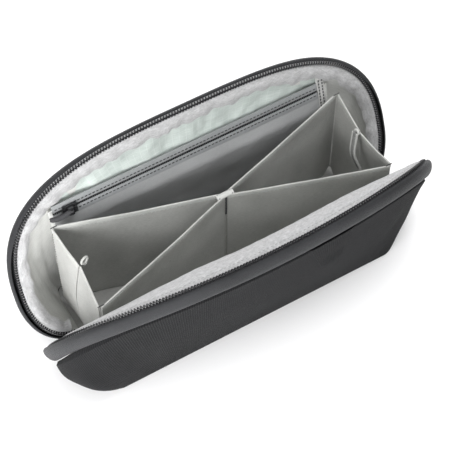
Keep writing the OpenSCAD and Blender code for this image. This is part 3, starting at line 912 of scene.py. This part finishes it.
def upright(name, body, a, b, ends, tops, material, thread, cut_a, seed, shift, sag, wave=0.6, bow=0.0):
    """Standing cloth from a to b with a folded hem along its top, as one skin.

    It stays clear of a and b by the two distances in ends, and tops has its heights there. Its
    lower corner is cut off at a if cut_a is true, and otherwise at b.
    """
    (start, stop), (za, zb) = ends, tops
    run = np.linalg.norm(b - a)
    d = (b - a) / run
    q = np.array([-d[1], d[0]])
    rows = max(int(run / 2.0), 14)
    ring = hemmed_ring()
    points, uv = [], []

    def hem_foot(s, k):
        return mix(za, zb, s / run) - HEM_H - sag * math.sin(math.pi * k) ** 2

    for r in range(rows + 1):
        k = r / rows
        s = mix(start, run - stop, k)
        top = hem_foot(s, k)
        from_end = s if cut_a else run - s
        low = CLOTH_FLOOR + max(0.0, CORNER_CUT - from_end)
        swing = math.sin(math.pi * k) * wave
        for side, up, rise in ring:
            z = mix(low, top, up) + rise
            depth = smooth((top - z) / 40) * 2.0 + 0.6
            off = swing * depth * ripple(s / 22 + seed, z / 30, seed) + side + shift
            fallen = min(max((za - z) / (za - CLOTH_FLOOR), 0), 1)
            bulge = bow * (s / run) ** 1.3 * math.sin(math.pi * fallen)
            points.append((a[0] + d[0] * s + q[0] * off + bulge, a[1] + d[1] * s + q[1] * off, z))
            uv.append((s * MM, (z if side < 0 else z + 0.3) * MM))
    faces = [(i, m, k, j) for i, j, k, m in loft(rows + 1, len(ring))]
    faces += [cap[::-1] for cap in caps(rows + 1, len(ring))]
    piece = mesh(name, points, faces, material, uv, 42)
    ride(piece, body, "divider_cloth", body)
    for label, side in (("a", -1), ("b", 1)):
        line, outward = [], []
        for k in np.linspace(0, 1, 40):
            s = mix(start + 1.0, run - stop - 1.0, k)
            z = hem_foot(s, k) + 0.9
            swing = math.sin(math.pi * k) * wave * 0.6
            off = swing * ripple(s / 22 + seed, z / 30, seed) + side * (HEM_T + 0.02) + shift
            line.append((a[0] + d[0] * s + q[0] * off, a[1] + d[1] * s + q[1] * off, z))
            outward.append((q[0] * side, q[1] * side, 0))
        row = stitches(f"{name}_row_{label}", line, outward, thread, 2.4, 0.64, 0.13, 0.08)
        ride(row, body, "divider_cloth")
    if bow:
        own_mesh(piece)


def top_of(half):
    """Height of the divider's corners in one half."""
    return TOP_BACK if half == "rear" else TOP


def apart(half, hand):
    """Sets an arm or a leaf to its own side of the sewn corner, away from its neighbour."""
    return APART if (half == "rear") == (hand == "right") else -APART


def divider_arm(half, hand):
    key, seed = f"{half}_{hand}", 3.0 if half == "rear" else 6.0
    upright(f"arm_{key}", f"divider_{key}", CROSSING, CORNERS[key], (1.2, 0.6), (TOP, top_of(half)),
            DIVIDER, GREY_THREAD, False, seed, apart(half, hand), sag=0.8)


def gusset_leaf(half, hand):
    seed, bow = (9.0, -5.0) if hand == "left" else (13.0, 3.5)
    upright(f"gusset_{hand}_{half}", f"{hand}_gusset_{half}", CORNERS[f"{half}_{hand}"], FOLDS[hand],
            (0.5, 0.4), (top_of(half), TOP), GUSSET, PALE_THREAD, True, seed, apart(half, hand),
            sag=0.6, wave=0.9, bow=bow)


for quarter in QUARTERS:
    divider_arm(*quarter)
for quarter in QUARTERS:
    gusset_leaf(*quarter)


def corner_seam(hand):
    """Row of stitches down the rear corner of a gusset, on its outer side."""
    x, y = CORNERS["rear_" + hand]
    x, y = x + math.copysign(0.75, x), y - 0.9
    line = np.array([(x, y, mix(TOP_BACK - 1.5, 14, k)) for k in np.linspace(0, 1, 30)])
    out = (math.copysign(1.0, x), 0.0, 0.0)
    ride(stitches(f"{hand}_corner_stitches", line, out, DARK_THREAD, 2.6, 0.6, 0.4, 0.2),
         f"{hand}_gusset_rear", "divider_cloth")


corner_seam("left")
corner_seam("right")

# ---- sewn crossing ----

def crossing():
    """Seam where the four arms meet, with a short bar over its top and rows of stitches."""
    x, y = CROSSING

    def add(piece, *nodes):
        ride(piece, "base", "divider_cloth", *nodes)

    seam = [(x, y, z) for z in np.linspace(CLOTH_FLOOR, TOP - 0.4, 24)]
    add(wire("crossing_seam", seam, (0, -1, 0), oval(1.1, 1.1, 10), DIVIDER), "divider_centre_seam")
    bar = [(x - 5.2 + 10.4 * k, y, TOP - 0.9 + 0.35 * math.sin(math.pi * k))
           for k in np.linspace(0, 1, 14)]
    add(wire("crossing_bar", bar, (0, 0, 1), oval(1.9, 1.3, 10), HEM))
    for label, dy in (("a", -1), ("b", 1)):
        down = [(x, y + dy * 1.3, TOP - 2 - 17 * k) for k in np.linspace(0, 1, 12)]
        add(stitches(f"crossing_row_{label}", down, (0, dy, 0), DARK_THREAD, 1.7, 0.8, 0.6, 0.3))
        over = [(x - 5 + 10 * k, y + dy * 1.3, TOP - 0.2) for k in np.linspace(0, 1, 8)]
        add(stitches(f"crossing_bar_row_{label}", over, (0, dy * 0.5, 0.9), DARK_THREAD,
                     1.6, 0.75, 0.3, 0.22))


crossing()

# ---- loop on the left fold, strap on the right fold, bar tacks ----

def loop():
    """Small standing loop sewn into the top of the left fold."""
    c = np.array([-88.2, -2.1, TOP + 1.6])
    a, b = unit([math.cos(math.radians(20)), math.sin(math.radians(20)), 0]), np.array([0, 0, 1.0])
    line = np.array([c + a * 2.3 * math.cos(w) + b * 2.4 * math.sin(w)
                     for w in np.linspace(-0.42 * math.pi, 1.42 * math.pi, 30)])
    line = np.concatenate([[c + a * 0.8 - b * 4.2], line, [c - a * 0.4 - b * 4.2]])
    ride(wire("left_fold_loop", line, np.cross(a, b), oval(0.72, 0.72, 8), GUSSET), "left_gusset_rear",
         "divider_cloth", "left_gusset_loop")


def strap():
    """Doubled cloth strap from a small eye at the right fold, hanging before the front leaf."""
    path = resample([(89.2, -3.0, 80.4), (87.6, -4.4, 77.0), (86.2, -6.2, 72.0), (85.8, -8.2, 66.5),
                     (86.4, -10.4, 61.0), (87.8, -12.0, 57.0)], 0.9)
    soft = path.copy()
    for _ in range(12):
        soft[1:-1] = (soft[:-2] + soft[1:-1] * 2 + soft[2:]) / 4
    soft[:, 0] += 0.35 * np.sin(np.linspace(0, 9, len(soft)))
    _, across, up = frames(soft, np.tile([-1.0, 0, 0], (len(soft), 1)))
    body = "right_gusset_rear"
    # the strap's cloth is darkened with painted shade for the shadow round it
    ride(tube("right_fold_strap", soft, across, up, oval(2.3, 1.0, 14), STRAP_PAINTED_SHADE), body,
         "divider_cloth", "right_gusset_strap")
    for label, hand in (("a", -1), ("b", 1)):
        edge = soft + across * hand * 2.2 + up * 0.45
        ride(tube(f"right_strap_edge_{label}", edge, across, up, oval(0.55, 0.8, 8), DIVIDER), body,
             "divider_cloth")
        row = soft + across * hand * 1.2 + up * 0.9
        ride(stitches(f"right_strap_row_{label}", row, up, GREY_THREAD, 1.7, 0.6, 0.2, 0.14), body,
             "divider_cloth")
    eye = np.array([90.0, -2.9, 80.2])
    ring = np.array([eye + np.array([0.3 * math.sin(w), 1.7 * math.cos(w), 1.5 * math.sin(w)])
                     for w in np.linspace(0, 2 * math.pi, 26)])
    ride(wire("right_strap_eye", ring, (1, 0, 0), oval(0.75, 0.7, 8), HEM), body, "divider_cloth")


loop()
strap()


def tack(name, centre, across, body):
    """Dense bar of thread at a corner of the divider."""
    centre, across = np.asarray(centre, float), unit(across)
    line = np.array([centre + across * s for s in np.linspace(-2.0, 2.0, 12)])
    ride(stitches(name, line, (0, 0, 1), DARK_THREAD, 0.7, 1.2, 0.3, 0.3), body, "divider_cloth")


for key, corner in CORNERS.items():
    high = top_of(key.split("_")[0])
    tack(f"tack_{key}", (corner[0] * 0.992, corner[1] * 0.99, high + 0.1), (1, 0, 0), f"divider_{key}")

# ---- sliders and pulls ----

def metal_sliders():
    """The two sliders keep their CAD shape and get the metal look."""
    for key in ("pocket_slider", "main_slider"):
        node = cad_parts[key]
        node.data.materials.clear()
        node.data.materials.append(METAL)


def pocket_pull():
    """Braid of three strands from an eye on the pocket's slider."""
    eye = on_wall(SLIDER_X, 0, EYE_OUT)
    for strand in range(3):
        k = np.linspace(0, 1, 90)
        reach = 0.6 + k * 12.4
        fat = 0.85 * np.minimum(1, np.minimum(k / 0.08, (1 - k) / 0.06) * 0.6 + 0.4)
        turn = k * 2 * math.pi * 4.2 + strand * 2 * math.pi / 3
        arch = np.sin(math.pi * k)
        out = (fat * np.cos(turn) + 0.6 * arch)[:, None]
        rise = (fat * np.sin(turn) - 0.8 * arch)[:, None]
        line = eye + np.outer(reach, (-1, 0, 0)) + WALL_OUT * out + WALL_UP * rise
        piece = wire(f"pocket_pull_strand_{strand + 1}", line, WALL_OUT, oval(0.78, 0.78, 8), CORD)
        ride(piece, "pocket_pull", "pull_cord", *(["pocket_pull_cord"] if strand == 0 else []))
    w = np.linspace(0, 2 * math.pi, 25)
    ring = np.array([eye + np.array([math.cos(a) * 1.2, 0, 0]) + WALL_OUT * math.sin(a) * 1.2 for a in w])
    ride(wire("pocket_pull_eye", ring, WALL_UP, oval(0.42, 0.5, 7), CORD), "pocket_pull", "pull_cord")


metal_sliders()
pocket_pull()


def main_pull():
    """One closed loop of cord through the main slider's bail."""
    bail = np.array([110.2, 0, 3.6])
    d = unit([math.cos(math.radians(8)), 0, -math.sin(math.radians(8))])

    def leg(side):
        return [bail + d * (11.4 * k) + (0, side * 1.35 * math.sin(math.pi * min(k + 0.12, 0.62)), 0)
                for k in np.linspace(0, 1, 14)]

    there = leg(-1)
    whole = np.array(there + [bail + d * 11.9] + leg(1)[::-1] + [there[0]])
    ride(wire("main_pull_cord", whole, (0, 0, 1), oval(0.62, 0.6, 8), CORD), "main_pull", "pull_cord",
         "main_slider_pull")


main_pull()

# ---- patch with a slit on the front panel ----

def patch():
    """Blank sewn patch under the tape: slanted at its left, open along its lower edge."""
    def f(i, j):
        left = mix(25.0, 46.0, j)
        right = mix(71.5, 68.5, j)
        x = mix(left, right, i)
        t = 0.5 + x / RIM_HALF * 0.252  # over the top, t runs nearly evenly with x
        k = mix(0.02, mix(0.37, 0.33, i), j)
        p = panel_point(FRONT, t, k)
        lift = 0.9 + 1.5 * smooth((j - 0.6) / 0.4) * math.sin(math.pi * mix(0.15, 0.85, i))
        edge = min(i, 1 - i) * 12
        return p + np.array([0, -1, 0.15]) * (0.25 + lift * min(edge, 1.0))

    piece = cloth("front_patch_flap", grid(31, 25, f), 0.7, SHELL, flip=True)
    return on_rim(piece, FRONT, "patch_fabric", "front_patch")


patch()

# ---- camera, floor and light ----

def camera():
    """A long lens from the front left, well above the pouch."""
    data = bpy.data.cameras.new("camera")
    data.lens, data.sensor_width, data.clip_end = 120, 36, 10
    cam = bpy.data.objects.new("camera", data)
    azimuth, elevation = math.radians(30.1), math.radians(57.1)
    back = Vector((-math.sin(azimuth) * math.cos(elevation), -math.cos(azimuth) * math.cos(elevation),
                   math.sin(elevation)))
    cam.location = (-0.2383, -0.4157, 0.7869)
    cam.rotation_mode = "QUATERNION"
    cam.rotation_quaternion = (-back).to_track_quat("-Z", "Y")
    bpy.context.scene.collection.objects.link(cam)
    bpy.context.scene.camera = cam


def light(name, where, size, power, target=(0, 0, 0.05)):
    """A square white lamp; places and size in metres."""
    data = bpy.data.lights.new(name, "AREA")
    data.shape, data.size, data.energy = "SQUARE", size, power
    lamp = bpy.data.objects.new(name, data)
    lamp.location = where
    lamp.rotation_mode = "QUATERNION"
    lamp.rotation_quaternion = (Vector(target) - Vector(where)).to_track_quat("-Z", "Y")
    bpy.context.scene.collection.objects.link(lamp)


def studio():
    """White floor and surroundings with four lamps."""
    s = Shader("studio_floor", (0.9, 0.9, 0.9), 0.9)
    p = s.position("Object")
    s.done(s.tint(s.noise(p, 400.0), (0.90, 0.90, 0.905), (0.93, 0.93, 0.935)))
    half, level = 2500, -0.15
    corners = [(-half, -half, level), (half, -half, level), (half, half, level), (-half, half, level)]
    floor = mesh("studio_floor", corners, [(0, 1, 2, 3)], s.material)
    world = bpy.data.worlds.new("studio_world")
    world.use_nodes = True
    world.node_tree.nodes["Background"].inputs["Color"].default_value = (1, 1, 1, 1)
    world.node_tree.nodes["Background"].inputs["Strength"].default_value = 0.74
    bpy.context.scene.world = world
    bpy.context.scene.view_settings.view_transform = "Standard"
    light("key", (0.16, -0.04, 0.92), 0.5, 5.0)
    light("side", (-0.50, -0.27, 0.24), 0.3, 2.5, target=(-0.08, -0.02, 0.05))
    light("low", (-0.32, -0.40, 0.10), 0.22, 2.2, target=(-0.12, -0.06, 0.06))
    light("rear", (0.15, 0.75, 0.17), 0.5, 5.0, target=(0, 0.03, 0.06))


camera()
studio()
